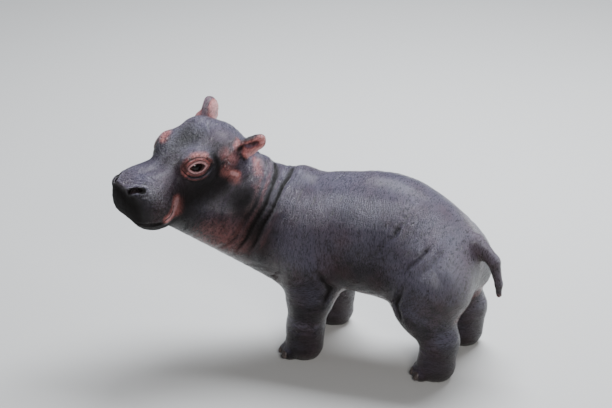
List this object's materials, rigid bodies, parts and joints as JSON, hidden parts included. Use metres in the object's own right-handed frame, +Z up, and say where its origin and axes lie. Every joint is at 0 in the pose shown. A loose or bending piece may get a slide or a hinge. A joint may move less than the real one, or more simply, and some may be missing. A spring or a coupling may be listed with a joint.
{
  "type": "hippopotamus calf figure",
  "caption": "Life-size still figure of a young hippopotamus standing on four feet, head raised and turned to its left, mouth closed.",
  "frame": {"origin": "centre of the figure's bounding box at floor level", "axes": "+X towards the tail along the trunk, head towards -X, left flank towards -Y, +Z up"},
  "size_m": [0.95, 0.4716, 0.605],
  "materials": {
    "hide": "bare wet-looking skin, slate grey with pink round the eyes, ears and mouth corners",
    "eye": "glossy dark brown",
    "toenail": "smooth horn"
  },
  "bodies": {
    "root": {"head": "hide", "lower_jaw": "hide", "neck": "hide", "trunk": "hide", "tail": "hide", "leg_front_left": "hide", "leg_front_right": "hide", "leg_hind_left": "hide", "leg_hind_right": "hide", "foot_front_left": "hide", "foot_front_right": "hide", "foot_hind_left": "hide", "foot_hind_right": "hide", "ear_left": "hide", "ear_right": "hide", "eye_left": "eye", "eye_right": "eye", "nail_front_left_1": "toenail", "nail_front_left_2": "toenail", "nail_front_left_3": "toenail", "nail_front_left_4": "toenail", "nail_front_right_1": "toenail", "nail_front_right_2": "toenail", "nail_front_right_3": "toenail", "nail_front_right_4": "toenail", "nail_hind_left_1": "toenail", "nail_hind_left_2": "toenail", "nail_hind_left_3": "toenail", "nail_hind_left_4": "toenail", "nail_hind_right_1": "toenail", "nail_hind_right_2": "toenail", "nail_hind_right_3": "toenail", "nail_hind_right_4": "toenail"}
  },
  "joints": []
}
